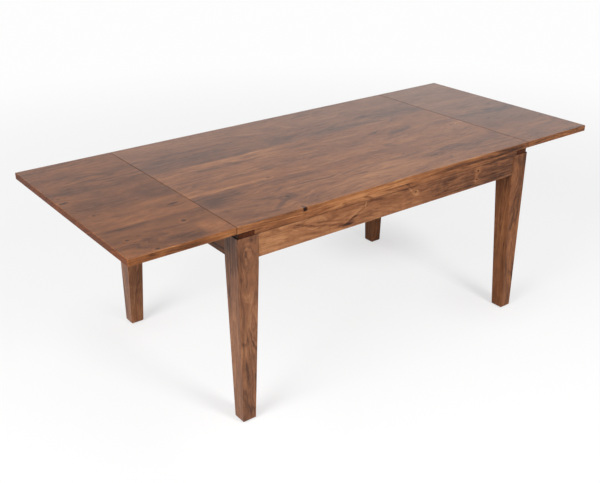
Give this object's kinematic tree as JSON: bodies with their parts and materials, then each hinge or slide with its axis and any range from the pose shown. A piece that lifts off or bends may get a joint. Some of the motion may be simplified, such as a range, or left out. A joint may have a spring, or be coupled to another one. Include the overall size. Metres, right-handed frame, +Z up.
{
  "type": "extension dining table",
  "caption": "Rectangular wooden dining table on square tapered legs, with a removable extension leaf at each end that slides straight out on wooden bearers.",
  "frame": {"origin": "on the floor, under the middle of the table with both leaves pushed home", "axes": "+X along the table to the right-hand leaf, +Y across the table to the back, +Z up"},
  "size_m": [2.185, 0.914, 0.762],
  "materials": {
    "main_top_wood": "oiled, low sheen",
    "leaf_wood": "oiled, low sheen",
    "edge_strip_wood": "oiled, low sheen",
    "apron_wood": "oiled, low sheen",
    "leg_wood": "oiled, low sheen",
    "packer_wood": "stained dark, matt",
    "bearer_wood": "waxed",
    "inner_wood": "sealed, matt",
    "dowel_wood": "plain",
    "glide_plastic": "matt",
    "bolt_steel": "zinc plated",
    "screw_steel": "plated"
  },
  "bodies": {
    "frame": {"back_apron": "apron_wood", "back_edge_strip": "edge_strip_wood", "back_left_corner_block": "inner_wood", "back_left_glide": "glide_plastic", "back_left_leg": "leg_wood", "back_right_corner_block": "inner_wood", "back_right_glide": "glide_plastic", "back_right_leg": "leg_wood", "back_top_cleat": "inner_wood", "front_apron": "apron_wood", "front_edge_strip": "edge_strip_wood", "front_left_corner_block": "inner_wood", "front_left_glide": "glide_plastic", "front_left_leg": "leg_wood", "front_right_corner_block": "inner_wood", "front_right_glide": "glide_plastic", "front_right_leg": "leg_wood", "front_top_cleat": "inner_wood", "hanger_bolt_nuts": "bolt_steel", "hanger_bolt_washers": "bolt_steel", "hanger_bolts": "bolt_steel", "left_back_bearer_guides": "inner_wood", "left_cross_rail": "inner_wood", "left_end_apron": "apron_wood", "left_end_packers": "packer_wood", "left_front_bearer_guides": "inner_wood", "main_top": "main_top_wood", "right_back_bearer_guides": "inner_wood", "right_cross_rail": "inner_wood", "right_end_apron": "apron_wood", "right_end_packers": "packer_wood", "right_front_bearer_guides": "inner_wood", "top_screws": "screw_steel"},
    "left_leaf_assembly": {"left_back_bearer": "bearer_wood", "left_batten_screws": "screw_steel", "left_bearer_screws": "screw_steel", "left_front_bearer": "bearer_wood", "left_leaf": "leaf_wood", "left_leaf_batten": "inner_wood", "left_leaf_dowels": "dowel_wood"},
    "right_leaf_assembly": {"right_back_bearer": "bearer_wood", "right_batten_screws": "screw_steel", "right_bearer_screws": "screw_steel", "right_front_bearer": "bearer_wood", "right_leaf": "leaf_wood", "right_leaf_batten": "inner_wood", "right_leaf_dowels": "dowel_wood"}
  },
  "joints": [
    {"name": "left_leaf_slide", "type": "slide", "parent": "frame", "child": "left_leaf_assembly", "axis": [-1, 0, 0], "range_m": [0, 0.4]},
    {"name": "right_leaf_slide", "type": "slide", "parent": "frame", "child": "right_leaf_assembly", "axis": [1, 0, 0], "range_m": [0, 0.4]}
  ]
}
